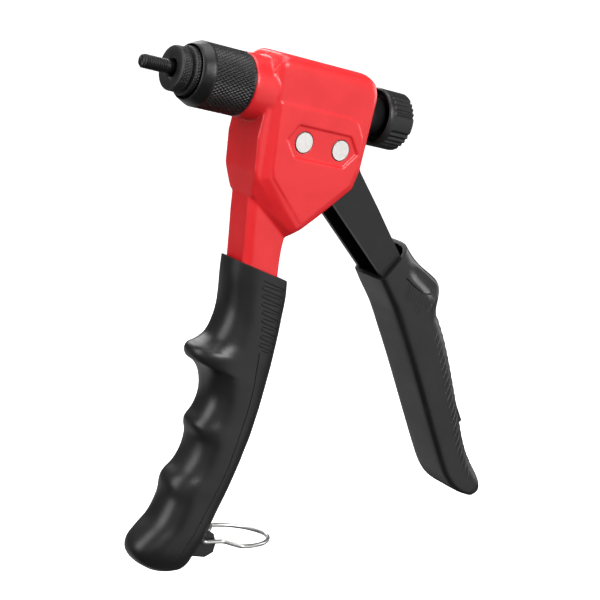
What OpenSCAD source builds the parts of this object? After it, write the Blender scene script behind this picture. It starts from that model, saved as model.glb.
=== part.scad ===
// Hand riveter (threaded-insert setting tool).
// Frame: origin at the centre of the anvil's front face, +X rearward along
// the barrel, +Y to the tool's left, +Z up. Millimetres.

/* [Barrel] */
// Radius of the adjusting sleeve and of the casting's collar
sleeve_r = 14; // [12:0.5:17]
// Where the sleeve ends and the collar starts
collar_x = 34.3; // [30:0.1:40]
// Radius of the anvil's head
anvil_r = 9.6; // [7:0.1:11]
// Mandrel thread radius, an M6 thread
mandrel_r = 3; // [2:0.5:4]
// Bare thread in front of the anvil
mandrel_out = 14.6; // [8:0.1:25]
// Knob radius
knob_r = 13.3; // [10:0.1:18]

/* [Casting] */
// Half width over the raised side pads
pad_y = 14.4; // [12:0.1:18]
// Half width of the cavity for the linkage
cavity_y = 10.2; // [9:0.1:11]
// Pin shank radius
pin_r = 3.5; // [3:0.1:4]
// Pin head radius
pin_head_r = 4.4; // [4:0.1:6]
// Fulcrum below the barrel's axis
fulcrum_drop = 17.5; // [14:0.5:22]

/* [Handles] */
// Fixed grip half width
grip_w = 12.8; // [10:0.1:16]
// Moving grip half width
moving_w = 12; // [10:0.1:16]
// Slope of the moving grip at rest
moving_slope = 51.8; // [40:0.1:65]
// Thickness of the lever's steel
lever_t = 2.3; // [1.5:0.1:3.5]
// Half width over the lever's cheeks
lever_y = 9.6; // [8:0.1:10]
// Wire radius of the latch
bail_r = 1; // [0.7:0.1:1.6]

/* [Hidden] */
fx = 86.6;
fz = -fulcrum_drop;
sx = 66.1;
lean = 15;
draw_x = fx - fulcrum_drop*tan(lean);
$fn = 64;

RED = [0.85, 0.08, 0.09];
BLACK = [0.09, 0.09, 0.095];
STEEL = [0.78, 0.78, 0.76];
OXIDE = [0.05, 0.05, 0.055];
DARK = [0.12, 0.12, 0.13];

// A side outline (x, z) made solid from y = a to y = b
module side(a, b) { translate([0, b, 0]) rotate([90, 0, 0]) linear_extrude(height = b - a) children(); }
// A cylinder along X
module xcyl(r, a, b, r2 = -1) {
  translate([a, 0, 0]) rotate([0, 90, 0]) cylinder(r1 = r, r2 = r2 < 0 ? r : r2, h = b - a);
}
// A cylinder along Y through (x, z)
module ycyl(r, x, z, a, b) { translate([x, b, z]) rotate([90, 0, 0]) cylinder(r = r, h = b - a); }

// Stacked loops of points closed into one solid
module skin(loops) {
  n = len(loops[0]); m = len(loops);
  polyhedron(
    points = [for (l = loops) for (p = l) p],
    faces = concat(
      [[for (i = [0 : n - 1]) i]],
      [for (k = [0 : m - 2]) for (i = [0 : n - 1]) [k*n + i, (k + 1)*n + i, k*n + (i + 1) % n]],
      [for (k = [0 : m - 2]) for (i = [0 : n - 1]) [(k + 1)*n + i, (k + 1)*n + (i + 1) % n, k*n + (i + 1) % n]],
      [[for (i = [n - 1 : -1 : 0]) (m - 1)*n + i]]));
}
function spow(t, e) = sign(t)*pow(abs(t), e);
// A boxy oval from the front point a to the rear point b, w to each side
function oval(a, b, w, nf, nr, k = 0.5, n = 28) = [for (i = [0 : n - 1])
  let (t = 360*i/n, c = cos(t), s = sin(t), e = c < 0 ? 2/nf : 2/nr,
    u = c < 0 ? k*(1 + spow(c, e)) : k + (1 - k)*spow(c, e))
  [a[0] + (b[0] - a[0])*u, w*spow(s, e), a[1] + (b[1] - a[1])*u]];

// ---- casting ----
wall_line = [[43.3, 10], [43.2, -20], [45.8, -34], [48, -36.8], [73.4, -57.2], [77.4, -55], [86, -46.9],
  [99.3, -33.3], [100.9, -25], [100.4, -10], [100.2, 10], [98.4, 13.6], [94.5, 15.8], [46.5, 15.8]];
core_line = [[43.3, 10], [43.2, -20], [45.8, -34], [49.2, -44.5], [52.5, -47], [72.4, -60.4], [77, -56.6],
  [86, -46.9], [99.3, -33.3], [100.9, -25], [100.4, -10], [100.2, 10], [98.2, 15], [93.5, 17.3], [46.5, 17.3]];
// Foot of the step that leads from the wall up to the flank
foot_line = [[44.4, 15.8], [45.3, 0], [46.7, -12.6], [48.6, -30], [49, -36.9], [73.4, -57.2], [77.4, -55], [86, -46.9],
  [99.3, -33.3], [100.9, -25], [100.4, -10], [100.2, 10], [98.4, 13.6], [94.5, 15.8]];
flank_line = [[46.9, 13.4], [60, 13], [95, 11.5], [97.6, 8.8], [98.6, -10], [98.9, -24], [97.2, -32], [84.9, -45],
  [76.6, -53.2], [73.6, -54.4], [53, -35.4], [52, -31], [49.3, -12.6], [47.9, 0]];
pad_line = [[48.9, -3], [86, -3], [92, -4.5], [96, -10], [97.2, -18], [97.2, -26], [96, -31.6], [84.3, -43.4],
  [76.4, -51.4], [74.6, -52.2], [54.6, -34.8], [53.2, -31], [50.2, -13]];
recess_line = [[56.2, -17.9], [60.8, -10.2], [90.3, -10.4], [96.2, -17.6], [90, -25], [62.2, -24.8]];
cavity_line = [[58, 9.5], [97.9, 9.5], [97.9, -11], [102, -11], [102, -34], [79, -58], [74.5, -52], [60, -31], [58, -28]];
// Tang: front point, rear point
tang_rows = [[49.3, -44, 72.7, -56], [50.8, -53, 72.7, -60], [52.9, -63, 72.7, -66], [54.3, -70, 73.3, -71.5],
  [56.2, -80, 74.6, -79], [57, -91.5, 74.9, -91.5]];
core_bar = [[57.5, -88], [75, -88], [76.5, -120], [76, -140], [71, -165], [63.5, -188], [55, -188],
  [60, -165], [63, -140], [62, -120], [59, -100]];
flank_y = 13.9;
wall_y = 12.35;
tang_y = 8.7;
bar_y = 4.2;
// A six-sided ring of the tang, g larger all round
function tang_loop(r, g = 0) = let (k = 3.7/(r[2] - r[0]), m = r[1] + (r[3] - r[1])*k) [
  [r[0] - g, 6.9 + g, r[1]], [r[0] + 3.7, tang_y + g, m], [r[2] + g, tang_y + g, r[3]],
  [r[2] + g, -tang_y - g, r[3]], [r[0] + 3.7, -tang_y - g, m], [r[0] - g, -6.9 - g, r[1]]];
module at_y(s, y, t = 0.05) { if (s > 0) side(y - t, y) children(); else side(-y, -y + t) children(); }

module body_casting() color(RED) difference() {
  union() {
    side(-wall_y, wall_y) polygon(wall_line);
    side(-tang_y, tang_y) polygon(core_line);
    for (s = [-1, 1]) {
      hull() { at_y(s, tang_y) polygon(core_line); at_y(s, wall_y) polygon(wall_line); }
      hull() { at_y(s, wall_y) polygon(foot_line); at_y(s, flank_y) polygon(flank_line); }
      at_y(s, pad_y, pad_y - flank_y + 0.05) polygon(pad_line);
    }
    skin([for (r = tang_rows) tang_loop(r)]);
    side(-bar_y, bar_y) polygon(core_bar);
    xcyl(sleeve_r, collar_x, 46.2);
  }
  // The front top blends from round, at the collar, to square
  difference() {
    translate([42, -20, 0]) cube([10, 40, 20]);
    hull() {
      xcyl(16.6, 43.2, 43.3);
      translate([52, -14.5, -20]) cube([1, 29, 37.6]);
    }
    xcyl(sleeve_r, 41, 46.2);
  }
  side(-cavity_y, cavity_y) polygon(cavity_line);
  for (s = [-1, 1]) {
    at_y(s, pad_y + 0.1, pad_y - 13.4) polygon(recess_line);
    for (x = [fx, sx]) if (s > 0) ycyl(pin_head_r + 0.06, x, fz, 12.4, 16); else ycyl(pin_head_r + 0.06, x, fz, -16, -12.4);
  }
  for (x = [fx, sx]) ycyl(pin_r + 0.02, x, fz, -15, 15);
  xcyl(10.02, 30, 50);
  xcyl(6.4, 49, 60);
  xcyl(9.02, 97, 102);
  xcyl(12, 33, 34.8);
}

module barrel_tube() color(STEEL) difference() {
  union() { xcyl(10, 18, 49.9); xcyl(11.9, 34.4, 34.8); }
  xcyl(6.3, 17, 51);
}

module pin(x) {
  ycyl(pin_head_r, x, fz, -13.7, -12.45);
  ycyl(pin_r, x, fz, -12.5, 13.6);
}
module fulcrum_pin() color(STEEL) pin(fx);
module stop_pin() color(STEEL) pin(sx);
module pin_end_caps() color(STEEL) for (x = [fx, sx]) difference() {
  ycyl(pin_head_r, x, fz, 12.45, 13.7);
  ycyl(pin_r + 0.01, x, fz, 12, 14);
}

module spring_cap() color(BLACK) difference() {
  union() {
    xcyl(8.95, 98, 110.8);
    xcyl(10, 100.7, 101.7);
  }
  xcyl(7.7, 97, 109.3);
  xcyl(4.1, 96, 112);
}

coil_r = 6.75;
wire_r = 0.65;
coil_a = 89.6;
coil_b = 108.6;
turns = 6.5;
module return_spring() color(STEEL)
  skin([for (k = [0 : 104])
    let (f = k/104, a = 360*turns*f, x = coil_a + (coil_b - coil_a)*f)
    [for (i = [0 : 7]) let (t = 360*i/8, r = coil_r + wire_r*cos(t))
      [x + wire_r*sin(t), r*cos(a), r*sin(a)]]]);

// Fixed grip: front point, rear point and half width, from the rim down
fixed_rows = [
  [50.9, -73.9, 82.2, -80.2, 12.4], [52, -81, 83.6, -87.5, 12.6], [53.9, -90, 84.1, -96.5, 12.8],
  [54.8, -97, 84.5, -104, 12.9], [54.3, -103.5, 84.8, -111, 13], [52.4, -109.3, 85.1, -117, 13],
  [48.4, -113.1, 85.4, -120.6, 13], [44.4, -115.2, 85.6, -123, 13], [43.3, -117.8, 85.6, -125.2, 13],
  [45, -121.2, 85.5, -127.8, 13],
  [50.1, -123.8, 85.2, -131, 12.9], [53.9, -127.8, 84.9, -135, 12.8], [56.4, -133.5, 84.5, -140.5, 12.8],
  [57, -139, 84, -146, 12.8], [55.8, -144.5, 83.7, -151.5, 12.8], [53.3, -149.2, 83.2, -156, 12.9],
  [53.4, -152.2, 82.5, -159.6, 12.9], [55.3, -157, 81.5, -165.5, 12.8], [55.2, -164, 80.2, -171.5, 12.8],
  [53, -170.3, 79, -177.6, 12.8], [49.3, -175.2, 77.8, -183, 12.9], [48.1, -178.9, 76.4, -188.5, 12.8],
  [48.7, -186, 74.6, -195, 12.8], [46.4, -195.3, 72.8, -202, 12.8], [41.8, -202, 71, -207.5, 12.6],
  [38.3, -207.7, 69.3, -212, 12.2], [38.4, -212.8, 68, -215.6, 11.2], [42, -216.8, 65.6, -218.5, 9.2],
  [48, -219.6, 61, -220.6, 5.6]];
bracket_line = [[64, -201.5], [72, -200], [78.8, -201.8], [81.3, -206], [81, -210.8], [77, -213.3], [64, -212.6]];
module fixed_grip() color(BLACK) difference() {
  skin([for (r = fixed_rows) oval([r[0], r[1]], [r[2], r[3]], r[4]*grip_w/12.8, 2.6, 2.9)]);
  skin([for (k = [2 : 5]) tang_loop(k < 5 ? tang_rows[k] : tang_rows[k] - [0, 0.2, 0, 0.2], 0.15)]);
  side(-bar_y - 0.1, bar_y + 0.1) offset(delta = 0.12) polygon(core_bar);
  side(-5.1, 5.1) offset(delta = 0.1) polygon(bracket_line);
  translate([0, 0, -208.6]) xcyl(1.43, 57.5, 66);
}

pivot = [73, -205.3];
module bail_bracket() color(BLACK) difference() {
  side(-5, 5) polygon(bracket_line);
  ycyl(bail_r + 0.05, pivot[0], pivot[1], -6, 6);
  translate([0, 0, -208.6]) { xcyl(1.43, 60, 84); xcyl(2.5, 79, 84); }
}
module bracket_screw() color(STEEL) translate([0, 0, -208.6]) difference() {
  union() { xcyl(1.4, 58, 79.2); xcyl(2.4, 79.05, 80.8); }
  xcyl(1.2, 80, 81, 1.2);
}
// Half of the latch from its end in the bracket round to the nose: x and y from the pivot
wire_path = [[0, 0.6], [0, 5.2], [0.4, 6.1], [1.4, 6.5], [9.8, 6.4], [11.2, 6.8], [12.2, 7.8], [15.6, 11.6],
  [16.6, 12.4], [18, 12.9], [24, 12.5], [29, 11.1], [32.8, 9.2], [36, 6.7], [38.1, 4.1], [39.2, 1.9], [39.5, 0]];
wire_all = concat([for (p = wire_path) [p[0], -p[1]]], [for (i = [len(wire_path) - 2 : -1 : 0]) wire_path[i]]);
function unit(v) = v/norm(v);
// Rings of a wire along a flat path, mitred at the corners
function wire_rings(path, r, n = 10) = let (m = len(path)) [for (k = [0 : m - 1])
  let (a = k > 0 ? unit(path[k] - path[k - 1]) : unit(path[1] - path[0]),
    b = k < m - 1 ? unit(path[k + 1] - path[k]) : a,
    t = unit(a + b), c = max(0.5, a*t), s = [-t[1], t[0]])
  [for (i = [0 : n - 1]) let (w = -360*i/n, q = path[k] + s*(r*cos(w)/c))
    [pivot[0] + q[0], q[1], pivot[1] + 0.05*q[0] + r*sin(w)]]];
module bail() color(STEEL) skin(wire_rings(wire_all, bail_r));

// ---- lever ----
// Distance along the moving grip and across it, in the (x, z) plane
function uv(u, v) = [139.3 + cos(moving_slope)*u + sin(moving_slope)*v,
  -64 - sin(moving_slope)*u + cos(moving_slope)*v];
channel_front = [[-45, -21.8], [2, -9], [30, -3.5], [100, 1]];
channel_rear = [[100, 10], [30, 8.5], [0, 4], [-14, 1.9], [-30.4, -0.3], [-52, -3.7]];
module arm_line() translate([fx, fz]) rotate(lean) children();
module cheek_line() difference() {
  union() {
    polygon(concat(
      [[fx - 24, fz + 10], [fx - 24, fz + pin_r + 0.1], [fx - 11, fz + pin_r + 0.1], [fx - 11, fz - 7], [fx - 6, fz - 14]],
      [for (p = channel_front) uv(p[0], p[1])],
      [for (p = channel_rear) uv(p[0], p[1])],
      [[fx + 11, fz + 1], [fx + 4, fz + 10]]));
    translate([fx, fz]) circle(r = 11);
    arm_line() { translate([-6, 0]) square([12, 18]); translate([0, 18]) circle(r = 6); }
  }
  translate([fx, fz]) circle(r = 5.01);
  arm_line() {
    translate([0, 17.35]) circle(r = 3.08);
    translate([0, 18.25]) circle(r = 3.08);
    translate([-3.08, 17.35]) square([6.16, 0.9]);
  }
}
web = [[-47, -3], [-30.4, -0.3], [-14, 1.9], [0, 4], [30, 8.5], [100, 10], [100, 7.7], [30, 6.2], [0, 1.7],
  [-14, -0.4], [-30.4, -2.6], [-47, -5.3]];
module lever_channel() color(DARK) {
  side(-lever_y, -lever_y + lever_t) cheek_line();
  side(lever_y - lever_t, lever_y) cheek_line();
  side(-lever_y, lever_y) polygon([for (p = web) uv(p[0], p[1])]);
}
module lever_bush() color(STEEL) difference() {
  ycyl(5, fx, fz, -10.1, 10.1);
  ycyl(pin_r + 0.05, fx, fz, -11, 11);
}

// Moving grip: distance along, front, rear, half width
moving_rows = [[0, -10.8, 10.6, 11.9], [6, -10.3, 12.3, 12.2], [12, -9.7, 15.2, 12.2], [18, -9.1, 19.3, 12.2],
  [22, -8.8, 21.5, 12.2], [26, -8.7, 21.8, 12.2], [30, -8.6, 19.8, 12.2], [34, -8.6, 16.9, 12.2],
  [38, -8.6, 15.6, 12.2], [42, -8.6, 15.8, 12.2], [53, -8.7, 16, 12.2], [66, -9, 15.2, 12.2],
  [80, -9.4, 13.8, 12.2], [95, -9.8, 12.2, 12.2], [110, -10.1, 10.5, 12.2], [120, -10, 10, 12.2],
  [127, -8.9, 10.6, 12.2], [131, -7.6, 11.1, 12.2], [136, -5, 11.7, 12.2], [140, -1.9, 11.6, 12],
  [142.8, 0.5, 10.6, 11.2], [144.5, 2.4, 9.2, 9.2], [145.5, 3.8, 7.4, 5.6]];
function moving_loop(r) = let (s = max(0, 1 - r[0]/20)*2.4, tail = min(1, max(0, (r[0] - 136)/10)),
    nr = 3.2 - 0.9*min(1, max(0, (r[0] - 40)/70)))
  oval(uv(r[0] + s, r[1]), uv(r[0] - 2*s, r[2]), r[3]*moving_w/12, 11 - 7*tail, nr, 0.42);
module moving_grip() color(BLACK) difference() {
  skin([for (r = moving_rows) moving_loop(r)]);
  side(-lever_y - 0.1, lever_y + 0.1)
    polygon([for (p = [[-12, -11.9], [2, -9.2], [14, -6.9], [14, 7.6], [9, 8], [-12, 8]]) uv(p[0], p[1])]);
  difference() {
    side(-lever_y - 0.1, lever_y + 0.1)
      polygon([for (p = [[13, -7.1], [30, -3.7], [100.3, 0.8], [100.3, 10.2], [30, 8.7], [13, 7.6]]) uv(p[0], p[1])]);
    side(-lever_y + lever_t + 0.1, lever_y - lever_t - 0.1)
      polygon([for (p = [[14, -12], [101, -12], [101, 7.5], [30, 6], [14, 3.6]]) uv(p[0], p[1])]);
  }
}

// ---- draw line ----
module draw_block() color(DARK) difference() {
  union() {
    translate([draw_x - 5.95, -6.8, -6.8]) cube([11.9, 13.6, 13.6]);
    ycyl(2, draw_x, 0, -9.7, 9.7);
  }
  xcyl(4.06, 60, 110);
}
module trunnion_rollers() color(STEEL) difference() {
  for (s = [-1, 1]) ycyl(3, draw_x, 0, s > 0 ? 7.2 : -9.6, s > 0 ? 9.6 : -7.2);
  ycyl(2.03, draw_x, 0, -11, 11);
}
washer_x = draw_x + 5.95;
module thrust_washer() color(STEEL) difference() {
  xcyl(7.2, washer_x, washer_x + 1);
  xcyl(4.06, 80, 100);
}
module spindle() color(STEEL) difference() {
  union() {
    xcyl(5.2, 30, 37);
    xcyl(6.2, 36.1, 50);
    xcyl(4, 49, 119);
    xcyl(6, draw_x - 8, draw_x - 6);
  }
  xcyl(1.6, 108, 120);
  difference() { xcyl(5, washer_x + 1.05, washer_x + 2.2); xcyl(3.4, 80, 100); }
}
module spindle_clip() color(DARK) difference() {
  xcyl(5.9, washer_x + 1.1, washer_x + 2.1);
  xcyl(3.44, 80, 100);
  translate([80, -2.4, 0]) cube([20, 4.8, 8]);
}
module mandrel_nut() color(OXIDE) difference() {
  xcyl(6.2, 20.5, 36);
  xcyl(5.24, 23.5, 37);
  xcyl(mandrel_r - 0.35, 19, 30);
}
module mandrel() color(OXIDE) {
  xcyl(mandrel_r - 0.5, -mandrel_out, -mandrel_out + 0.6, mandrel_r);
  xcyl(mandrel_r, -mandrel_out + 0.6, -0.6);
  xcyl(mandrel_r - 0.4, -1, 24);
  xcyl(5, 23.6, 29.9);
}
module knob() color(BLACK) difference() {
  union() {
    xcyl(12.9, 109.5, 110.2, knob_r);
    xcyl(knob_r, 110.2, 123.5);
    xcyl(knob_r, 123.5, 124.4, 12.4);
  }
  xcyl(12.2, 109.4, 113.5, 10.2);
  xcyl(4.04, 100, 119.05);
  xcyl(1.64, 118, 125);
  xcyl(3.3, 120.8, 125);
}
module knob_screw() color(STEEL) difference() {
  union() { xcyl(1.58, 109, 121); xcyl(3.2, 120.85, 122.9); }
  translate([121.8, 0, 0]) rotate([0, 90, 0]) cylinder(r = 1.6, h = 2, $fn = 6);
}

// ---- nose ----
module sleeve_o_ring() color(OXIDE) translate([31, 0, 0]) rotate([0, 90, 0])
  rotate_extrude() translate([10.62, 0]) circle(r = 0.55, $fn = 24);
module adjusting_sleeve() color(OXIDE) difference() {
  union() {
    xcyl(12, 8, 12.3, sleeve_r);
    xcyl(sleeve_r, 12.3, collar_x - 0.05);
  }
  xcyl(11.47, 7, 11.4);
  xcyl(7.05, 10, 18);
  xcyl(10.12, 17.2, 36);
  xcyl(11.2, 30.35, 31.65);
}
module lock_ring() color(OXIDE) difference() {
  xcyl(10.6, 5.8, 11.35);
  xcyl(7.05, 5, 12);
}
module anvil() color(OXIDE) difference() {
  union() {
    xcyl(anvil_r, 0, 3.9);
    xcyl(anvil_r, 3.9, 4.4, anvil_r - 0.5);
    xcyl(7, 4, 17);
  }
  xcyl(mandrel_r + 0.05, -1, 18);
  xcyl(4.3, -0.01, 1.8, mandrel_r + 0.05);
}

body_casting();
barrel_tube();
fulcrum_pin();
stop_pin();
pin_end_caps();
spring_cap();
return_spring();
fixed_grip();
bail_bracket();
bracket_screw();
bail();
lever_channel();
lever_bush();
moving_grip();
draw_block();
trunnion_rollers();
thrust_washer();
spindle();
spindle_clip();
mandrel_nut();
mandrel();
knob();
knob_screw();
sleeve_o_ring();
adjusting_sleeve();
lock_ring();
anvil();
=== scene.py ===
"""Looks of a hand riveter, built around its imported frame.

Lengths are in millimetres until MM turns them into metres. Profiles are lists of (x, r), with x back from
the anvil's face and r out from the tool's axis.
"""

import math

import bmesh
import bpy
import numpy as np
from mathutils import Matrix, Vector
from mathutils.bvhtree import BVHTree


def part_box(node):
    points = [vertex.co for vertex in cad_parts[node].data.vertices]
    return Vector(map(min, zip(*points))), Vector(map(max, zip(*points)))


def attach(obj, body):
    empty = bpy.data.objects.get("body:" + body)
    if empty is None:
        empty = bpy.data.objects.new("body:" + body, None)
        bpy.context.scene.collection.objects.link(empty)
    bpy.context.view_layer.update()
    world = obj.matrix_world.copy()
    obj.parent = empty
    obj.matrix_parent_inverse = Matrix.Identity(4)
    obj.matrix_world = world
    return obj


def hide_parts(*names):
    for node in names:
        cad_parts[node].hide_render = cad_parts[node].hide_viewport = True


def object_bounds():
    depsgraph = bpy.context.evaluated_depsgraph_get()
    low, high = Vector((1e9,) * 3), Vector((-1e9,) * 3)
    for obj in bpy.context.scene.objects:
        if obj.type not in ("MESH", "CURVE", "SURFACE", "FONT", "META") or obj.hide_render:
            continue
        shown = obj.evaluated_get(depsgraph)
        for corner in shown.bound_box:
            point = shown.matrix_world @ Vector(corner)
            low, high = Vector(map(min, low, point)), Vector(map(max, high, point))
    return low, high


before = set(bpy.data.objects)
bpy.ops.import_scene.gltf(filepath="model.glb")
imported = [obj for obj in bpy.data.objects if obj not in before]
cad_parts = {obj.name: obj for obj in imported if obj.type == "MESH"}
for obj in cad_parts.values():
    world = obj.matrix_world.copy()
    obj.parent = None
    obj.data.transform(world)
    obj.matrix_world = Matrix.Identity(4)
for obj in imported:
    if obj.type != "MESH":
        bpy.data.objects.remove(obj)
cad_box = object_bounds()

MM = 0.001
TAU = 2 * math.pi


def corners(node):
    """Lowest and highest corner of a CAD node, in millimetres."""
    low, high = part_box(node)
    return np.array(low) / MM, np.array(high) / MM


# ---------------------------------------------------------------- camera
AIM = Vector((96.7, 0, -88.9)) * MM
AZIMUTH = math.radians(-38.57)
ELEVATION = math.radians(8.48)
ROLL = math.radians(14.74)
DISTANCE = 0.715
LENS = 93.7


def make_camera():
    """A long lens that looks at the tool from its front left and a little above."""
    forward = Vector((
        -math.sin(AZIMUTH) * math.cos(ELEVATION),
        math.cos(AZIMUTH) * math.cos(ELEVATION),
        -math.sin(ELEVATION),
    ))
    level = Vector((math.cos(AZIMUTH), math.sin(AZIMUTH), 0))
    upright = level.cross(forward)
    right = level * math.cos(ROLL) + upright * math.sin(ROLL)
    up = upright * math.cos(ROLL) - level * math.sin(ROLL)
    camera = bpy.data.objects.new("camera", bpy.data.cameras.new("camera"))
    camera.data.lens = LENS
    camera.data.clip_end = 20
    turn = Matrix((right, up, -forward)).transposed().to_4x4()
    camera.matrix_world = Matrix.Translation(AIM - forward * DISTANCE) @ turn
    bpy.context.collection.objects.link(camera)
    bpy.context.scene.camera = camera
    return forward


FORWARD = make_camera()


# ---------------------------------------------------------------- materials
class Nodes:
    """A small helper that adds and joins shader nodes."""

    def __init__(self, name):
        self.material = bpy.data.materials.new(name)
        self.material.use_nodes = True
        self.tree = self.material.node_tree
        self.tree.nodes.clear()
        self.output = self.tree.nodes.new("ShaderNodeOutputMaterial")
        self.shader = self.tree.nodes.new("ShaderNodeBsdfPrincipled")
        self.tree.links.new(self.shader.outputs[0], self.output.inputs[0])
        self.place = self.add("ShaderNodeTexCoord").outputs["Object"]

    def add(self, kind, **settings):
        node = self.tree.nodes.new(kind)
        for key, value in settings.items():
            setattr(node, key, value)
        return node

    def join(self, source, target):
        self.tree.links.new(source, target)

    def noise(self, scale, detail=3.0, rough=0.5, stretch=None):
        node = self.add("ShaderNodeTexNoise")
        node.inputs["Scale"].default_value = scale
        node.inputs["Detail"].default_value = detail
        node.inputs["Roughness"].default_value = rough
        source = self.place
        if stretch:
            mapping = self.add("ShaderNodeMapping")
            mapping.inputs["Scale"].default_value = stretch
            self.join(self.place, mapping.inputs["Vector"])
            source = mapping.outputs["Vector"]
        self.join(source, node.inputs["Vector"])
        return node.outputs["Fac"]

    def ramp(self, source, low, high, a=0.0, b=1.0):
        node = self.add("ShaderNodeMapRange")
        node.inputs["From Min"].default_value = a
        node.inputs["From Max"].default_value = b
        node.inputs["To Min"].default_value = low
        node.inputs["To Max"].default_value = high
        self.join(source, node.inputs["Value"])
        return node.outputs["Result"]

    def mix(self, factor, one, two):
        node = self.add("ShaderNodeMix", data_type="RGBA")
        for key, value in ((6, one), (7, two)):
            if isinstance(value, tuple):
                node.inputs[key].default_value = (*value, 1)
            else:
                self.join(value, node.inputs[key])
        if isinstance(factor, float):
            node.inputs[0].default_value = factor
        else:
            self.join(factor, node.inputs[0])
        return node.outputs[2]

    def mottle(self, scale, detail, dark, light, high=0.65):
        """Two shades blended by soft noise."""
        return self.mix(self.ramp(self.noise(scale, detail), 0.0, 1.0, 0.35, high), dark, light)

    def edges(self, low=0.52, high=0.6):
        """0 on flats, 1 on sharp outer edges."""
        return self.ramp(self.add("ShaderNodeNewGeometry").outputs["Pointiness"], 0.0, 1.0, low, high)

    def colour(self, source):
        self.join(source, self.shader.inputs["Base Color"])

    def rough(self, source):
        self.join(source, self.shader.inputs["Roughness"])

    def bump(self, source, strength, distance):
        node = self.add("ShaderNodeBump")
        node.inputs["Strength"].default_value = strength
        node.inputs["Distance"].default_value = distance
        if self.shader.inputs["Normal"].is_linked:
            self.join(self.shader.inputs["Normal"].links[0].from_socket, node.inputs["Normal"])
        self.join(source, node.inputs["Height"])
        self.join(node.outputs["Normal"], self.shader.inputs["Normal"])

    def set(self, **values):
        for key, value in values.items():
            self.shader.inputs[key.replace("_", " ")].default_value = value


def red_paint():
    """Satin powder coat over a casting: fine orange peel, faint mottle, and sharp edges painted lighter in
    patches as a painted highlight.
    """
    m = Nodes("red_paint")
    base = m.mottle(90, 4, (0.75, 0.013, 0.018), (0.8, 0.018, 0.023))
    # Sharp edges are mixed towards a lighter red in noisy patches: a painted highlight.
    painted_highlight_patches = m.ramp(m.noise(900, 3), 0.0, 0.35, 0.45, 0.7)
    edge = m.add("ShaderNodeMath", operation="MULTIPLY")
    m.join(m.edges(0.53, 0.64), edge.inputs[0])
    m.join(painted_highlight_patches, edge.inputs[1])
    m.colour(m.mix(edge.outputs[0], base, (0.86, 0.06, 0.06)))
    m.rough(m.ramp(m.noise(260, 5), 0.33, 0.43))
    m.bump(m.noise(1500, 2), 0.1, 0.00015)
    m.bump(m.noise(260, 2), 0.06, 0.0004)
    m.set(Coat_Weight=0.25, Coat_Roughness=0.22)
    return m.material


def bright_steel():
    """Turned steel: fine lines round the axis, faint smudges and small scratches."""
    m = Nodes("bright_steel")
    smudge = m.ramp(m.noise(160, 5), 0.0, 1.0, 0.3, 0.7)
    m.colour(m.mix(smudge, (0.72, 0.71, 0.69), (0.86, 0.85, 0.84)))
    m.rough(m.ramp(m.noise(420, 4, stretch=(1, 6, 1)), 0.22, 0.42))
    m.bump(m.noise(2600, 2, stretch=(1, 0.2, 1)), 0.12, 0.00008)
    m.set(Metallic=1.0)
    return m.material


def pin_steel():
    """Ground pin heads: pale and matt, with a fine face grain."""
    m = Nodes("pin_steel")
    m.colour(m.mottle(500, 5, (0.8, 0.775, 0.75), (0.88, 0.86, 0.84)))
    m.rough(m.ramp(m.noise(900, 3), 0.42, 0.56))
    m.bump(m.noise(2400, 3), 0.15, 0.0001)
    m.set(Metallic=0.75)
    return m.material


def black_steel():
    """Black coated pressed steel with a slight sheen."""
    m = Nodes("black_steel")
    m.colour(m.mottle(120, 4, (0.003, 0.003, 0.0032), (0.005, 0.005, 0.0052)))
    m.rough(m.ramp(m.noise(340, 5), 0.34, 0.48))
    m.bump(m.noise(1300, 3), 0.12, 0.00012)
    m.set(Metallic=0.0)
    return m.material


def black_oxide():
    """Chemically blackened steel: blotchy, with its sharp edges and thread crests painted grey as a
    painted highlight.
    """
    m = Nodes("black_oxide")
    base = m.mottle(220, 5, (0.006, 0.006, 0.0063), (0.012, 0.012, 0.0123), 0.68)
    # Sharp outer edges are mixed to grey: a painted highlight.
    m.colour(m.mix(m.edges(0.54, 0.66), base, (0.1, 0.1, 0.1)))
    m.rough(m.ramp(m.noise(500, 4), 0.3, 0.45))
    m.bump(m.noise(1800, 3), 0.12, 0.0001)
    m.set(Metallic=0.25)
    return m.material


def painted_highlight_steel():
    """Grey steel put on a blackened edge as a painted highlight."""
    m = Nodes("painted_highlight_steel")
    m.colour(m.mottle(900, 4, (0.1, 0.1, 0.1), (0.34, 0.34, 0.34)))
    m.rough(m.ramp(m.noise(600, 3), 0.3, 0.45))
    m.bump(m.noise(2000, 2), 0.1, 0.0001)
    m.set(Metallic=0.8)
    return m.material


def moulded(name, dark, light, rough_low, rough_high, grain):
    """Moulded plastic: fine spark-eroded grain, faint flow mottle, polished spots where a hand rubs, and
    sharp edges painted lighter as a painted highlight.
    """
    # How much lighter the sharp edges are painted: a painted highlight.
    edge_highlight_lift = 1.7
    m = Nodes(name)
    base = m.mottle(60, 4, dark, light)
    m.colour(m.mix(m.edges(0.52, 0.6), base, tuple(edge_highlight_lift * c for c in light)))
    m.rough(m.ramp(m.noise(45, 5), rough_low, rough_high, 0.3, 0.7))
    m.bump(m.noise(grain, 3, 0.6), 0.22, 0.00016)
    m.bump(m.noise(grain / 9, 2), 0.05, 0.0004)
    return m.material


def ring_rubber():
    """Dull black rubber."""
    m = Nodes("ring_rubber")
    m.colour(m.mix(m.noise(300), (0.008, 0.008, 0.008), (0.014, 0.014, 0.014)))
    m.rough(m.ramp(m.noise(700), 0.5, 0.7))
    m.bump(m.noise(1500), 0.1, 0.0001)
    return m.material


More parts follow.
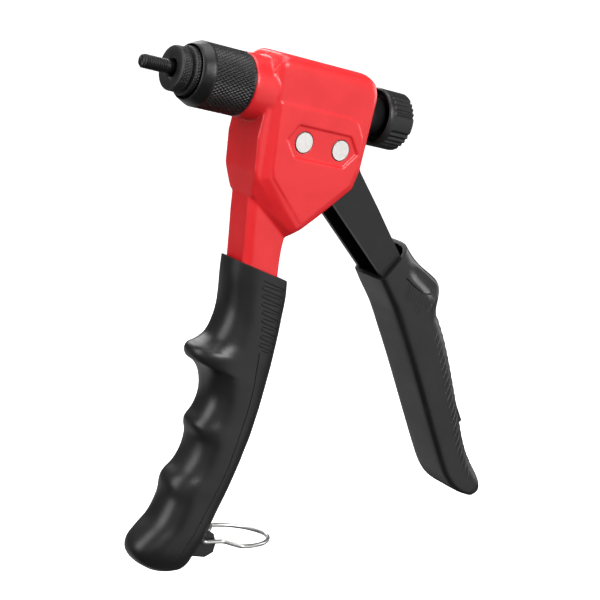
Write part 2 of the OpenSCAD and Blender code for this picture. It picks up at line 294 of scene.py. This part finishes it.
MATERIALS = {
    "red_paint": red_paint(),
    "bright_steel": bright_steel(),
    "pin_steel": pin_steel(),
    "black_steel": black_steel(),
    "black_oxide": black_oxide(),
    "painted_highlight_steel": painted_highlight_steel(),
    "black_knob": moulded("black_knob", (0.006, 0.006, 0.0063), (0.009, 0.009, 0.0093), 0.36, 0.48, 1700),
    "grip_black": moulded("grip_black", (0.007, 0.007, 0.0073), (0.01, 0.01, 0.0103), 0.34, 0.44, 1500),
    # Darker, duller plastic for the faces of cut grooves: painted shade.
    "painted_groove_shade": moulded("painted_groove_shade", (0.003, 0.003, 0.003), (0.005, 0.005, 0.005), 0.6, 0.7, 1500),
    "ring_rubber": ring_rubber(),
}


# ---------------------------------------------------------------- mesh helpers
def piece(name, points, faces, body, slot, replaces=(), sharp=60):
    """A smooth mesh from points in millimetres, riding on a body; edges over sharp degrees stay hard."""
    mesh = bpy.data.meshes.new(name)
    mesh.from_pydata([tuple(float(c) * MM for c in p) for p in points], [], faces)
    work = bmesh.new()
    work.from_mesh(mesh)
    bmesh.ops.remove_doubles(work, verts=work.verts, dist=1e-7)
    bmesh.ops.recalc_face_normals(work, faces=work.faces)
    for face in work.faces:
        face.smooth = True
    for edge in work.edges:
        if len(edge.link_faces) == 2 and edge.calc_face_angle(0) > math.radians(sharp):
            edge.smooth = False
    work.to_mesh(mesh)
    work.free()
    mesh.materials.append(MATERIALS[slot])
    obj = bpy.data.objects.new(name, mesh)
    bpy.context.collection.objects.link(obj)
    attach(obj, body)
    if replaces:
        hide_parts(*replaces)
    return obj


def grid_faces(rows, columns, closed_rows=False):
    """Quads of a grid whose columns wrap round, and its rows too where closed_rows is true."""
    faces = []
    last = rows if closed_rows else rows - 1
    for k in range(last):
        for i in range(columns):
            a = k * columns + i
            b = k * columns + (i + 1) % columns
            c = (k + 1) % rows * columns + (i + 1) % columns
            d = (k + 1) % rows * columns + i
            faces.append((a, b, c, d))
    return faces


def lathe(profile, segments, relief):
    """A closed ring about the X axis from (x, r) points; relief(x, r, angle) gives the raised radius."""
    points = []
    for x, r in profile:
        for i in range(segments):
            a = TAU * i / segments
            radius = relief(x, r, a)
            points.append((x, radius * math.cos(a), radius * math.sin(a)))
    return points, grid_faces(len(profile), segments, closed_rows=True)


def circle(x, r, segments):
    """A loop of points round the X axis."""
    turns = [TAU * i / segments for i in range(segments)]
    return [(x, r * math.cos(a), r * math.sin(a)) for a in turns]


def lofted(loops):
    """A capped skin through closed loops of the same number of points."""
    columns = len(loops[0])
    points = [p for loop in loops for p in loop]
    faces = grid_faces(len(loops), columns)
    faces.append(tuple(range(columns)))
    faces.append(tuple(reversed(range((len(loops) - 1) * columns, len(loops) * columns))))
    return points, faces


def merged(*parts):
    """Several (points, faces) as one."""
    points, faces = [], []
    for some_points, some_faces in parts:
        faces += [tuple(i + len(points) for i in face) for face in some_faces]
        points += list(some_points)
    return points, faces


def smooth_rows(rows, steps):
    """Catmull-Rom rows between the given ones."""
    rows = [np.array(r, float) for r in rows]
    out = []
    for k in range(len(rows) - 1):
        a = rows[max(k - 1, 0)]
        b, c = rows[k], rows[k + 1]
        d = rows[min(k + 2, len(rows) - 1)]
        for i in range(steps):
            t = i / steps
            out.append(0.5 * (2 * b + (c - a) * t + (2 * a - 5 * b + 4 * c - d) * t ** 2
                              + (3 * b - a - 3 * c + d) * t ** 3))
    out.append(rows[-1])
    return out


def tube(path, radius, sides):
    """A round wire along 3-D points, with a steady frame and flat ends."""
    path = [Vector(p) for p in path]
    count = len(path)
    points = []
    normal = None
    for k in range(count):
        ahead = path[min(k + 1, count - 1)]
        behind = path[max(k - 1, 0)]
        along = (ahead - behind).normalized()
        if normal is None:
            normal = along.orthogonal().normalized()
        normal = (normal - along * normal.dot(along)).normalized()
        side = along.cross(normal)
        for i in range(sides):
            a = TAU * i / sides
            points.append(path[k] + (normal * math.cos(a) + side * math.sin(a)) * radius)
    faces = grid_faces(count, sides)
    faces.append(tuple(reversed(range(sides))))
    faces.append(tuple(range((count - 1) * sides, count * sides)))
    return points, faces


def polish(node, material, bevel):
    """Gives a kept CAD node its material and, where stated, small rounded edges."""
    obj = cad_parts[node]
    obj.data.materials.clear()
    obj.data.materials.append(MATERIALS[material])
    if bevel:
        weld = obj.modifiers.new("weld", "WELD")
        weld.merge_threshold = 1e-6
        edge = obj.modifiers.new("bevel", "BEVEL")
        edge.width = bevel * MM
        edge.segments = 2
        edge.limit_method = "ANGLE"
        edge.angle_limit = math.radians(35)
        edge.harden_normals = True


def evaluated(obj):
    """A mesh of the object with its modifiers."""
    graph = bpy.context.evaluated_depsgraph_get()
    graph.update()
    return bpy.data.meshes.new_from_object(obj.evaluated_get(graph))


def subtract(obj, points, faces):
    """Cuts a solid out of an object and gives the cut faces a darker, duller plastic, as painted shade in
    the groove.

    A cutter that crosses itself can fail the first, faster cut; it leaves less of the object than it had.
    """
    mesh = bpy.data.meshes.new("cutter")
    mesh.from_pydata([tuple(float(c) * MM for c in p) for p in points], [], faces)
    work = bmesh.new()
    work.from_mesh(mesh)
    bmesh.ops.recalc_face_normals(work, faces=work.faces)
    for face in work.faces:
        face.smooth = True
    work.to_mesh(mesh)
    work.free()
    # The cut faces take the darker plastic: painted shade in the groove.
    mesh.materials.append(MATERIALS["painted_groove_shade"])
    cutter = bpy.data.objects.new("cutter", mesh)
    bpy.context.collection.objects.link(cutter)
    boolean = obj.modifiers.new("grooves", "BOOLEAN")
    boolean.object = cutter
    boolean.solver = "EXACT"
    boolean.material_mode = "TRANSFER"
    result = evaluated(obj)
    if len(result.vertices) < len(obj.data.vertices):
        boolean.use_self = True
        result = evaluated(obj)
    obj.modifiers.remove(boolean)
    obj.data = result
    bpy.data.objects.remove(cutter)
    work = bmesh.new()
    work.from_mesh(result)
    for edge in work.edges:
        edge.smooth = len(edge.link_faces) != 2 or edge.calc_face_angle(0) < math.radians(40)
    work.to_mesh(result)
    work.free()


def power(t, e):
    """A power that keeps its sign."""
    return math.copysign(abs(t) ** e, t)


# ---------------------------------------------------------------- casting
PIN_PLACES = [(86.6, -17.5), (66.1, -17.5)]


def relax(mesh, weight, rounds):
    """Moves each vertex towards its neighbours' middle, by a weight that depends on its place."""
    count = len(mesh.vertices)
    place = np.empty(count * 3)
    mesh.vertices.foreach_get("co", place)
    place = place.reshape(-1, 3)
    ends = np.empty(len(mesh.edges) * 2, np.int64)
    mesh.edges.foreach_get("vertices", ends)
    ends = ends.reshape(-1, 2)
    start, stop = np.concatenate((ends[:, 0], ends[:, 1])), np.concatenate((ends[:, 1], ends[:, 0]))
    degree = np.maximum(1, np.bincount(start, minlength=count))
    amount = 0.5 * weight(place / MM)
    for _ in range(rounds):
        middle = [np.bincount(start, weights=place[stop, axis], minlength=count) / degree
                  for axis in range(3)]
        place += amount[:, None] * (np.stack(middle, axis=1) - place)
    mesh.vertices.foreach_set("co", place.ravel())


def grow(mesh, amount):
    """Makes up for the shrinking of a relaxed skin, in the side view only."""
    count = len(mesh.vertices)
    place, normal = np.empty(count * 3), np.empty(count * 3)
    mesh.vertices.foreach_get("co", place)
    mesh.vertices.foreach_get("normal", normal)
    place += normal * np.tile((amount * MM, 0, amount * MM), count)
    mesh.vertices.foreach_set("co", place)


def cast_softness(place):
    """Soft along the top and the front corners, crisp round the linkage panel."""
    x, z = place[:, 0], place[:, 2]
    top = np.clip((z - 6) / 5, 0, 1)
    front = 0.2 * np.clip((50 - x) / 5, 0, 1)
    tang = 0.2 * np.clip((-40 - z) / 6, 0, 1)
    top *= np.clip((x - 44) / 8, 0.12, 0.8)
    return np.maximum(0.05, np.maximum(top, np.maximum(front, tang)))


def disc_cutter(places, radius, near, far):
    """Short cylinders along Y from near to far, on both sides."""
    parts = []
    for x, z in places:
        for side in (-1, 1):
            loops = [[(x + a, side * y, z + b) for _, a, b in circle(0, radius, 64)] for y in (near, far)]
            parts.append(lofted(loops))
    return merged(*parts)


def cast_head():
    """The casting with the soft fillets of a cast and coated part, and a groove round each pin head, its
    faces painted dark as shade.
    """
    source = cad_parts["body_casting"]
    work = bpy.data.objects.new("cast_work", source.data.copy())
    bpy.context.collection.objects.link(work)
    weld = work.modifiers.new("weld", "WELD")
    weld.merge_threshold = 1e-6
    remesh = work.modifiers.new("remesh", "REMESH")
    remesh.mode = "VOXEL"
    remesh.voxel_size = 0.4 * MM
    mesh = evaluated(work)
    bpy.data.objects.remove(work)
    mesh.name = "cast_head"
    mesh.materials.clear()
    mesh.materials.append(MATERIALS["red_paint"])
    relax(mesh, lambda place: np.ones(len(place)), 5)
    relax(mesh, cast_softness, 60)
    grow(mesh, 0.22)
    mesh.shade_smooth()
    obj = bpy.data.objects.new("cast_head", mesh)
    bpy.context.collection.objects.link(obj)
    ring_r, ring_floor, beyond = 4.85, 12.7, 15
    # The ring grooves' faces are painted dark as shade.
    subtract(obj, *disc_cutter(PIN_PLACES, ring_r, ring_floor, beyond))
    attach(obj, "body")
    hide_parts("body_casting")


# ---------------------------------------------------------------- nose
def knurl(angle, x, starts, lead, sharpness=1.7):
    """Flat-topped diamonds, 0 in the grooves and 1 on top."""
    turn = angle / TAU * starts
    one = abs(2 * ((turn + x / lead) % 1) - 1)
    two = abs(2 * ((turn - x / lead) % 1) - 1)
    return min(1, sharpness * min(one, two))


def sleeve():
    """The adjusting sleeve: a rounded mouth and a diamond knurl to its rear edge."""
    rear = corners("adjusting_sleeve")[1][0]
    outer, bore, depth, steps = 14, 7.05, 0.42, 96
    knurl_from, knurl_to = 13.4, rear - 1.0
    rows = [(11.4, bore), (11.4, 11.3), (11.2, 11.47), (8.3, 11.47), (8.0, 11.7), (8.15, 12.05)]
    rows += [(9.5, 12.65), (11, 13.3), (12.3, 13.85), (12.7, 13.98), (13.2, outer)]
    rows += [(knurl_from + (knurl_to - knurl_from) * k / steps, outer) for k in range(steps + 1)]
    rows += [(rear - 0.6, outer), (rear - 0.1, 13.7), (rear, 13.4), (rear, 10.2), (rear - 0.2, 10.12)]
    rows += [(17.2, 10.12), (17.2, bore)]

    def relief(x, r, a):
        if r != outer or not knurl_from <= x <= knurl_to:
            return r
        fade = min(1, (x - knurl_from) / 0.8, (knurl_to - x) / 0.5)
        return r - depth * fade * (1 - knurl(a, x, 54, 2.5, 1.5))

    points, faces = lathe(rows, 648, relief)
    piece("adjusting_sleeve_skin", points, faces, "sleeve", "black_oxide", ["adjusting_sleeve"])


def rim_rows(start, end, radius, steps, chamfer=0.35):
    """A band between two chamfers, with enough rows for its knurl."""
    length = end - start - 2 * chamfer
    band = [(start + chamfer + length * k / steps, radius) for k in range(steps + 1)]
    return [(start, radius - chamfer)] + band + [(end, radius - chamfer)]


def fine_rim(radius, starts, lead, depth):
    """A relief that knurls only the band at one radius."""
    def relief(x, r, a):
        return r - depth * (1 - knurl(a, x, starts, lead, 1.5)) if r == radius else r
    return relief


def lock_ring():
    """The knurled ring in the sleeve's mouth."""
    outer, bore = 10.6, 7.05
    rows = [(5.8, bore)] + rim_rows(5.8, 11.35, outer, 20) + [(11.35, bore)]
    points, faces = lathe(rows, 400, fine_rim(outer, 50, 2.2, 0.26))
    piece("lock_ring_skin", points, faces, "lock_ring", "black_oxide", ["lock_ring"])


def anvil():
    """The knurled anvil, with a painted highlight on its rear chamfer."""
    outer, bore, neck = 9.6, 3.05, 7.0
    rows = [(17, bore), (1.8, bore), (0.3, 4.1), (0, 4.3), (0, 9.2)]
    rows += rim_rows(0.0, 4.4, outer, 18, 0.4)
    rows += [(4.4, neck + 0.1), (4.5, neck), (16.6, neck), (17, neck - 0.3)]
    points, faces = lathe(rows, 400, fine_rim(outer, 48, 2.2, 0.24))
    obj = piece("anvil_skin", points, faces, "anvil", "black_oxide", ["anvil"])
    # The rear chamfer's faces take a lighter grey steel: a painted highlight.
    obj.data.materials.append(MATERIALS["painted_highlight_steel"])
    for polygon in obj.data.polygons:
        x, y, z = polygon.center / MM
        if 3.95 < x < 4.42 and math.hypot(y, z) > 9.1:
            polygon.material_index = 1


def mandrel():
    """An M6 stud with its thread cut as a true helix."""
    low = corners("mandrel")[0][0]
    pitch, crest, depth, tip = 1.0, 3.0, 0.58, 2.35
    segments, step, thread_end = 48, 0.1, -2.4
    loops = [circle(low, 0.02, segments)]
    for k in range(int((thread_end - low) / step) + 2):
        x = low + k * step
        taper = min(crest, tip + (x - low) * 0.8)
        fade = min(1, max(0, (thread_end - x) / 0.9))
        loop = []
        for i in range(segments):
            a = TAU * i / segments
            ridge = abs(2 * ((x / pitch + i / segments) % 1) - 1)
            height = min(1, max(0, 1.35 * ridge - 0.15))
            r = min(taper, crest - depth * (1 - height) * fade)
            loop.append((x, r * math.cos(a), r * math.sin(a)))
        loops.append(loop)
    shank = [(-0.9, 2.9), (-0.5, 2.6), (23.6, 2.6), (23.6, 5.0), (29.9, 5.0)]
    loops += [circle(x, r, segments) for x, r in shank]
    points, faces = lofted(loops)
    piece("mandrel_skin", points, faces, "spindle", "black_oxide", ["mandrel"], 75)


# ---------------------------------------------------------------- knob
def knob():
    """A spin knob with five groups of flutes and a dished front."""
    low, high = (c[0] for c in corners("knob"))
    outer, hub, screw_r, steps = 13.3, 4.04, 1.64, 20
    group, group_width, flute_pitch, flute_depth, first_flute = 72, 44, 11, 0.75, 21
    flute_from, flute_to = low + 3.1, high - 0.9
    rows = [(119.05, hub), (113.5, hub), (113.5, 9.6), (113.1, 10.5), (low + 0.5, 12.1), (low, 12.35)]
    rows += [(low + 0.1, 12.75), (low + 0.5, 13.1), (low + 1.0, outer), (flute_from - 0.1, outer)]
    rows += [(flute_from + (flute_to - flute_from) * k / steps, outer) for k in range(steps + 1)]
    rows += [(high - 0.4, 12.9), (high - 0.05, 12.3), (high, 11.6), (high, 3.7), (high - 0.2, 3.3)]
    rows += [(120.8, 3.3), (120.8, screw_r), (119.05, screw_r)]

    def relief(x, r, a):
        place = (math.degrees(a) + first_flute) % group
        if x < flute_from or r < 11 or place > group_width:
            return r
        wave = 0.5 - 0.5 * math.cos(TAU * place / flute_pitch)
        return r - flute_depth * wave * min(1, (x - flute_from) / 0.9)

    points, faces = lathe(rows, 360, relief)
    piece("knob_skin", points, faces, "spindle", "black_knob", ["knob"], 55)


# ---------------------------------------------------------------- fixed grip
# Sections from the rim to the butt: front x and z, rear x and z, half width
FIXED_ROWS = [
    (50.9, -73.9, 82.2, -80.2, 12.4), (52, -81, 83.6, -87.5, 12.6), (53.9, -90, 84.1, -96.5, 12.8),
    (54.8, -97, 84.5, -104, 12.9), (54.3, -103.5, 84.8, -111, 13), (52.4, -109.3, 85.1, -117, 13),
    (48.4, -113.1, 85.4, -120.6, 13), (44.4, -115.2, 85.6, -123, 13), (43.3, -117.8, 85.6, -125.2, 13),
    (45, -121.2, 85.5, -127.8, 13), (50.1, -123.8, 85.2, -131, 12.9), (53.9, -127.8, 84.9, -135, 12.8),
    (56.4, -133.5, 84.5, -140.5, 12.8), (57, -139, 84, -146, 12.8), (55.8, -144.5, 83.7, -151.5, 12.8),
    (53.3, -149.2, 83.2, -156, 12.9), (53.4, -152.2, 82.5, -159.6, 12.9), (55.3, -157, 81.5, -165.5, 12.8),
    (55.2, -164, 80.2, -171.5, 12.8), (53, -170.3, 79, -177.6, 12.8), (49.3, -175.2, 77.8, -183, 12.9),
    (48.1, -178.9, 76.4, -188.5, 12.8), (48.7, -186, 74.6, -195, 12.8), (46.4, -195.3, 72.8, -202, 12.8),
    (41.8, -202, 71, -207.5, 12.6), (38.3, -207.7, 69.3, -212, 12.2), (38.4, -212.8, 68, -215.6, 11.2),
    (42, -216.8, 65.6, -218.5, 9.2), (48, -219.6, 61, -220.5, 5.6),
]


def oval(front, rear, width, n_front, n_rear, middle=0.5, inset=0.0, count=96):
    """A boxy oval from a front point to a rear point, each (x, z); a higher power is boxier."""
    front, rear = np.array(front, float), np.array(rear, float)
    reach = np.linalg.norm(rear - front)
    loop = []
    for i in range(count):
        t = TAU * i / count
        c, s = math.cos(t), math.sin(t)
        e = 2 / (n_front if c < 0 else n_rear)
        u = middle * (1 + power(c, e)) if c < 0 else middle + (1 - middle) * power(c, e)
        u = u + inset / reach * (1 - 2 * u)
        x, z = front + (rear - front) * u
        loop.append((x, (width - inset) * power(s, e), z))
    return loop


def surface_of(obj):
    """A search tree of an object's faces."""
    mesh = obj.data
    return BVHTree.FromPolygons([v.co for v in mesh.vertices], [p.vertices[:] for p in mesh.polygons])


SIDE_Y = 12.8


def on_side(tree, x, z, side):
    """The point of a surface beside (x, z), on the side given by +1 or -1; SIDE_Y where there is none."""
    outside = 60
    start = Vector((x, side * outside, z)) * MM
    hit = tree.ray_cast(start, Vector((0, -side, 0)))[0]
    return (x, hit.y / MM, z) if hit else (x, side * SIDE_Y, z)


def side_path(tree, points, side):
    """Points along a polyline, laid on the surface."""
    step = 0.7
    path = []
    for (x0, z0), (x1, z1) in zip(points, points[1:]):
        count = max(1, int(math.hypot(x1 - x0, z1 - z0) / step))
        path += [(x0 + (x1 - x0) * i / count, z0 + (z1 - z0) * i / count) for i in range(count)]
    path.append(points[-1])
    return [on_side(tree, x, z, side) for x, z in path]


def engrave(obj, paths, radius):
    """Cuts round-bottomed grooves along paths, their faces painted dark as shade."""
    subtract(obj, *merged(*[tube(path, radius, 8) for path in paths]))


def raise_ribs(name, lines, radius, body, slot):
    """Fine raised ribs: round lines that lie mostly under a surface."""
    points, faces = merged(*[tube(path, radius, 8) for path in lines])
    piece(name, points, faces, body, slot, sharp=70)


def hairpin(x, z, radius, side):
    """A half circle about (x, z), from its top to its bottom, bulging to the given side."""
    turns = [math.radians(30 * i) for i in range(7)]
    return [(x + side * radius * math.sin(t), z + radius * math.cos(t)) for t in turns]


def serpentine():
    """A line that runs back and forth beside the rear edge of the fixed grip, then down its length."""
    front_turns = [65.3, 66.5, 67.3, 68.5, 69.4, 70.2, 70.8, 71.4]
    points = [(64.4, -80.5)]
    for j in range(len(front_turns) + 1):
        points += hairpin(76.6 + 0.26 * j, -83.8 - 3.59 * j, 0.55, 1)
        if j < len(front_turns):
            points += hairpin(front_turns[j], -83.4 - 3.67 * j, 0.8, -1)
    points += [(72.6, -111.7), (72, -112.1), (71.7, -113), (72.8, -120), (73.8, -128), (73.9, -137)]
    points += [(73.4, -146), (72.4, -157), (71.2, -167), (69.3, -175), (67, -183), (64.6, -191)]
    return points + [(62, -199), (58.6, -207.5), (55, -213)]


def fixed_grip():
    """The finger-grooved grip with its open rim and engraved lines."""
    rows = smooth_rows(FIXED_ROWS, 6)
    x_front, z_front, x_rear, z_rear, width = rows[0]

    def section(front, rear, half_width, inset=0.0):
        return oval(front, rear, half_width, 2.5, 2.9, inset=inset)

    deep = section((x_front, z_front - 9), (x_rear, z_rear - 9), width, 2.4)
    inner = section((x_front, z_front + 0.15), (x_rear, z_rear + 0.15), width, 2.2)
    lip = section((x_front, z_front + 0.15), (x_rear, z_rear + 0.15), width, 0.6)
    points, faces = lofted([deep, inner, lip] + [section(row[:2], row[2:4], row[4]) for row in rows])
    obj = piece("fixed_grip_skin", points, faces, "body", "grip_black", ["fixed_grip"], 50)
    tree = surface_of(obj)
    engrave(obj, [side_path(tree, serpentine(), side) for side in (-1, 1)], 0.36)


# ---------------------------------------------------------------- moving grip
SLOPE = math.radians(51.8)
MOUTH_X, MOUTH_Z = 139.3, -64


def uv(u, v):
    """A point (x, z) from its distance u along and v across the moving grip."""
    along, across = math.cos(SLOPE), math.sin(SLOPE)
    return (MOUTH_X + along * u + across * v, MOUTH_Z - across * u + along * v)


# Sections from the mouth to the end: distance along, front, rear, half width
MOVING_ROWS = [
    (0, -10.8, 10.6, 11.9), (6, -10.3, 12.3, 12.2), (12, -9.7, 15.2, 12.2), (18, -9.1, 19.3, 12.2),
    (22, -8.8, 21.5, 12.2), (26, -8.7, 21.8, 12.2), (30, -8.6, 19.8, 12.2), (34, -8.6, 16.9, 12.2),
    (38, -8.6, 15.6, 12.2), (42, -8.6, 15.8, 12.2), (53, -8.7, 16, 12.2), (66, -9, 15.2, 12.2),
    (80, -9.4, 13.8, 12.2), (95, -9.8, 12.2, 12.2), (110, -10.1, 10.5, 12.2), (120, -10, 10, 12.2),
    (127, -8.9, 10.6, 12.2), (131, -7.6, 11.1, 12.2), (136, -5, 11.7, 12.2), (140, -1.9, 11.6, 12),
    (142.8, 0.5, 10.6, 11.2), (144.5, 2.4, 9.2, 9.2), (145.5, 3.8, 7.4, 5.6),
]


def dish(u, v):
    """Depth of the thumb channel, which falls across the side towards the bump."""
    along = ((u - 3) * 20 + (v - 5.5) * 9) / 481
    across = abs((u - 3) * 9 - (v - 5.5) * 20) / 21.9
    reach = max(0, min(1, 2.5 * along)) * max(0, min(1, 4 * (1.25 - along)))
    return 1.7 * reach * max(0, 1 - (across / 4.4) ** 2) ** 1.5


def moving_loop(row, inset=0.0, shift=0.0, count=96):
    """One section of the moving grip: flat in front, rounder behind towards its end."""
    u, front_v, rear_v, width = row
    slant = max(0, 1 - u / 20) * 2.4
    rear_power = 3.2 - 0.9 * min(1, max(0, (u - 40) / 70))
    front_power = 7.5 - 3.5 * min(1, max(0, (u - 136) / 10))
    front = (u + slant + shift, front_v)
    rear = (u - 2 * slant + shift, rear_v)
    points = []
    for u, y, v in oval(front, rear, width, front_power, rear_power, 0.42, inset, count):
        x, z = uv(u, v)
        depth = dish(u, v) * min(1, max(0, (abs(y) - 5) / 5))
        points.append((x, math.copysign(abs(y) - depth, y), z))
    return points


def moving_point(rows, u, degrees, inset):
    """A point under the moving grip's skin by its distance along and its turn, 0 at the back."""
    k = next(i for i in range(len(rows) - 1) if rows[i + 1][0] > u)
    share = (u - rows[k][0]) / (rows[k + 1][0] - rows[k][0])
    row = rows[k] * (1 - share) + rows[k + 1] * share
    return moving_loop(row, inset, count=360)[degrees % 360]


def fan():
    """The start and end of each rib of the thumb panel: every given rib and one between each two."""
    tops = [(10.5, 2.5), (14.5, 4), (18.5, 6.5), (22, 8.5), (25, 11), (29, 11.5)]
    ends = [(17, -2.5), (20, -1), (24, 0.5), (29.5, 0.5), (29.5, 6), (31.5, 7.5)]
    given = [np.array(pair) for pair in zip(tops, ends)]
    ribs = given[:1]
    for one, two in zip(given, given[1:]):
        ribs += [(one + two) / 2, two]
    return ribs


def back_ribs(rows):
    """Arcs round the back of the moving grip, swept down towards its sides."""
    count, half_steps, pitch, sweep = 20, 24, 4.4, 7
    ribs = []
    for k in range(count):
        first, spread = 40.5 + pitch * k, 78 + 6 * k / (count - 1)
        turns = [int(spread * i / half_steps) for i in range(-half_steps, half_steps + 1)]
        ribs.append([moving_point(rows, first + sweep * (t / spread) ** 2, t, 0.26) for t in turns])
    return ribs


def moving_grip():
    """The lever's grip with its thumb channel, the line round it and two sets of ribs."""
    rows = smooth_rows(MOVING_ROWS, 8)
    rim = rows[0]
    loops = [moving_loop(rim, 2.3, 9), moving_loop(rim, 2.0, -0.1), moving_loop(rim, 0.6, -0.15)]
    loops += [moving_loop(row) for row in rows]
    points, faces = lofted(loops)
    obj = piece("moving_grip_skin", points, faces, "handle", "grip_black", ["moving_grip"], 50)
    tree = surface_of(obj)
    edge = [uv(8, 1.6), uv(13.8, 4.2), uv(19, 7), uv(22, 9.6), uv(24.4, 13)]
    ribs, sink = [], 0.18
    for side in (-1, 1):
        for one, two in fan():
            line = side_path(tree, [uv(*one), uv(*two)], side)
            ribs.append([(x, y - side * sink, z) for x, y, z in line])
    ribs += back_ribs(rows)
    engrave(obj, [side_path(tree, edge, side) for side in (-1, 1)], 0.45)
    raise_ribs("moving_grip_ribs", ribs, 0.45, "handle", "grip_black")


# ---------------------------------------------------------------- latch
def latch():
    """One bent wire, its two ends sprung into the lug."""
    pivot, pitch_up, wire_r = np.array([73, 0, -205.3]), 0.05, 1.0
    half = [(0, 0.6), (0, 4.6), (0.15, 5.6), (0.7, 6.3), (1.6, 6.5), (8.6, 6.4), (10.6, 6.6), (12, 7.6)]
    half += [(15.4, 11.4), (16.6, 12.4), (18.2, 12.9), (24, 12.5), (29, 11.1), (32.8, 9.2), (36, 6.7)]
    half += [(38.1, 4.1), (39.2, 1.9), (39.5, 0)]
    half = smooth_rows(half, 5)
    path = [(x, -y) for x, y in half] + [(x, y) for x, y in reversed(half[:-1])]
    points, faces = tube([pivot + (x, y, pitch_up * x) for x, y in path], wire_r, 16)
    piece("latch_wire", points, faces, "bail", "bright_steel", ["bail"])


# ---------------------------------------------------------------- build
# The CAD nodes that stay: their material and the size of their rounded edges
KEPT = {
    "fulcrum_pin": ("pin_steel", 0.25),
    "stop_pin": ("pin_steel", 0.25),
    "pin_end_caps": ("pin_steel", 0.25),
    "barrel_tube": ("bright_steel", 0.2),
    "spring_cap": ("black_knob", 0.3),
    "return_spring": ("bright_steel", 0),
    "bail_bracket": ("grip_black", 0.7),
    "bracket_screw": ("bright_steel", 0.15),
    "lever_channel": ("black_steel", 0.5),
    "lever_bush": ("bright_steel", 0.2),
    "draw_block": ("black_steel", 0.4),
    "trunnion_rollers": ("bright_steel", 0.2),
    "thrust_washer": ("bright_steel", 0.15),
    "spindle": ("bright_steel", 0.2),
    "spindle_clip": ("black_steel", 0.15),
    "mandrel_nut": ("black_oxide", 0.3),
    "knob_screw": ("bright_steel", 0.2),
    "sleeve_o_ring": ("ring_rubber", 0),
}


def build():
    cast_head()
    sleeve()
    lock_ring()
    anvil()
    mandrel()
    knob()
    fixed_grip()
    moving_grip()
    latch()
    for name, (material, bevel) in KEPT.items():
        polish(name, material, bevel)


# ---------------------------------------------------------------- floor and light
def flat_material(name, colour, rough, glow):
    """A matt, faintly uneven surface that glows a little."""
    m = Nodes(name)
    m.colour(m.mix(m.noise(6), colour, tuple(c * 0.985 for c in colour)))
    m.rough(m.ramp(m.noise(40), rough, rough + 0.08))
    m.set(Emission_Color=(1, 1, 1, 1), Emission_Strength=glow)
    return m.material


def level_axes():
    """The level directions away from the camera and to its right."""
    away = Vector((FORWARD.x, FORWARD.y, 0)).normalized()
    return away, Vector((away.y, -away.x, 0))


def backdrop():
    """A pale floor that sweeps up into a wall behind the tool."""
    away, across = level_axes()
    centre = Vector((AIM.x, AIM.y, cad_box[0][2] - 0.06))
    half, near, flat, bend, wall = 6.0, -4.0, 1.6, 1.2, 6.0
    outline = [(near, 0.0), (flat, 0.0)]
    for degrees in range(10, 91, 10):
        a = math.radians(degrees)
        outline.append((flat + bend * math.sin(a), bend - bend * math.cos(a)))
    outline.append((flat + bend, wall))
    points = []
    for d, h in outline:
        for side in (-half, half):
            points.append(centre + away * d + across * side + Vector((0, 0, h)))
    faces = [(2 * k, 2 * k + 1, 2 * k + 3, 2 * k + 2) for k in range(len(outline) - 1)]
    mesh = bpy.data.meshes.new("backdrop")
    mesh.from_pydata(points, [], faces)
    mesh.shade_smooth()
    mesh.materials.append(flat_material("backdrop", (0.9, 0.9, 0.9), 0.85, 0.85))
    obj = bpy.data.objects.new("backdrop", mesh)
    obj.visible_diffuse = False
    obj.visible_glossy = False
    bpy.context.collection.objects.link(obj)


def area_light(name, side, height, front, power_w, size):
    """A soft box placed by how far it is to the camera's right, above the aim and in front of it."""
    away, across = level_axes()
    place = AIM + across * side + Vector((0, 0, height)) - away * front
    data = bpy.data.lights.new(name, "AREA")
    data.shape = "RECTANGLE"
    data.size, data.size_y = size
    data.energy = power_w
    obj = bpy.data.objects.new(name, data)
    obj.visible_camera = False
    obj.location = place
    obj.rotation_euler = (AIM - place).to_track_quat("-Z", "Y").to_euler()
    bpy.context.collection.objects.link(obj)


def studio_world():
    """A dim, even surrounding."""
    world = bpy.data.worlds.new("studio")
    bpy.context.scene.world = world
    world.use_nodes = True
    background = world.node_tree.nodes["Background"]
    background.inputs["Color"].default_value = (1, 1, 1, 1)
    background.inputs["Strength"].default_value = 0.1


def lights():
    """Soft boxes round the tool: name, side, height, front, watts, size."""
    area_light("key_box", 1.0, 0.9, 1.1, 28, (0.9, 0.9))
    area_light("right_box", 1.25, -0.15, 0.3, 2.7, (1.1, 1.1))
    area_light("left_box", -1.1, 0.35, 0.85, 17, (0.9, 1.5))
    area_light("top_box", -0.1, 1.2, 0.0, 9, (1.2, 0.8))
    area_light("rear_box", -0.8, 0.9, -1.1, 10, (0.8, 0.8))
    area_light("rear_side_box", 1.2, 0.5, -0.8, 6, (0.7, 0.7))
    area_light("floor_glow", -0.43, -0.57, -0.54, 0.9, (0.8, 0.8))
    area_light("front_box", -0.1, 0.05, 1.5, 1.6, (1.2, 1.2))
    view = bpy.context.scene.view_settings
    view.view_transform = "Standard"
    view.look = "None"


build()
backdrop()
studio_world()
lights()
